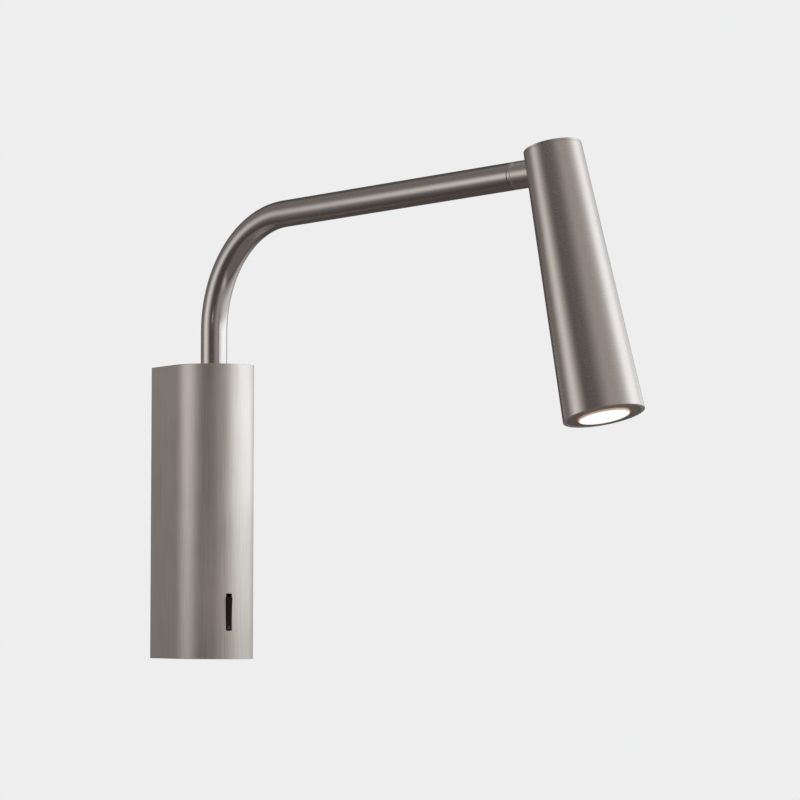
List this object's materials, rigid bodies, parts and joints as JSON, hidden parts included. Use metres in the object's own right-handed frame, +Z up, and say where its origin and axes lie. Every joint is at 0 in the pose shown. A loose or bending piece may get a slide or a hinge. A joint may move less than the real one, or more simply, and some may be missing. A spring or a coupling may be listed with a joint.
{
  "type": "wall reading lamp",
  "caption": "Wall reading lamp: tall housing with a rounded front and rocker switch, a bent tube arm that swings, and a tapered head that rolls about the arm.",
  "frame": {"origin": "centre of the two wall screws, on the wall plane", "axes": "+Y into the wall, +Z up, the room is at -Y; modelled in the pictured pose with the arm swung 17 degrees towards +X"},
  "size_m": [0.1443, 0.3788, 0.2927],
  "materials": {
    "housing_metal": "brushed satin",
    "head_metal": "brushed satin",
    "tube_metal": "satin",
    "zinc_sheet": "zinc plated",
    "spring_steel": "bright",
    "screw_steel": "zinc plated",
    "turned_steel": "turned",
    "plain_aluminium": "turned",
    "acetal": "satin",
    "fibre": "matt",
    "grommet_rubber": "matt",
    "driver_plastic": "fine texture",
    "block_plastic": "satin",
    "brass": "bright",
    "switch_black": "fine texture",
    "mains_insulation": "satin",
    "earth_insulation": "satin",
    "lead_sheath": "satin",
    "board_white": "satin",
    "phosphor": "satin",
    "reflector_white": "gloss",
    "opal": "opal, lit"
  },
  "bodies": {
    "base": {"wall_bracket": "zinc_sheet", "cable_grommet": "grommet_rubber", "housing_shell": "housing_metal", "top_cap": "housing_metal", "bottom_cap": "housing_metal", "chassis": "zinc_sheet", "chassis_screws": "screw_steel", "housing_screws": "screw_steel", "swivel_bush": "acetal", "retaining_washer": "spring_steel", "stop_pin": "spring_steel", "led_driver": "driver_plastic", "driver_screws": "screw_steel", "terminal_block": "block_plastic", "terminal_screws": "screw_steel", "block_screws": "screw_steel", "earth_screw": "brass", "switch_frame": "switch_black", "rocker_pin": "spring_steel", "switch_blades": "brass", "switch_bracket": "zinc_sheet", "switch_bracket_screws": "screw_steel", "mains_leads": "mains_insulation", "switch_lead": "mains_insulation", "earth_lead": "earth_insulation", "output_lead": "lead_sheath"},
    "arm": {"arm_tube": "tube_metal", "arm_foot": "turned_steel", "stop_disc": "spring_steel", "disc_spring": "spring_steel", "swivel_nut": "screw_steel", "arm_end_insert": "turned_steel", "friction_washer": "fibre", "arm_lead": "lead_sheath"},
    "head": {"swivel_collar": "tube_metal", "roll_spindle": "turned_steel", "spindle_washer": "spring_steel", "spindle_nut": "screw_steel", "head_core": "plain_aluminium", "head_shell": "head_metal", "head_cap": "head_metal", "heat_sink": "plain_aluminium", "led_board": "board_white", "led_chip": "phosphor", "board_screws": "screw_steel", "reflector": "reflector_white", "lens_holder": "block_plastic", "front_ring": "head_metal", "light_disc": "opal", "head_lead": "lead_sheath"},
    "rocker": {"switch_rocker": "switch_black"}
  },
  "joints": [
    {"name": "arm_swing", "type": "hinge", "parent": "base", "child": "arm", "pos_m": [0, -0.0395, 0.09], "axis": [0, 0, 1], "range_deg": [-107, 73]},
    {"name": "head_roll", "type": "hinge", "parent": "arm", "child": "head", "pos_m": [0.0861, -0.3211, 0.18707], "axis": [0.2921, -0.9555, 0.0419], "range_deg": [-165, 165]},
    {"name": "switch_rock", "type": "hinge", "parent": "base", "child": "rocker", "pos_m": [0, -0.057, -0.0608], "axis": [-1, 0, 0], "range_deg": [0, 10]}
  ]
}
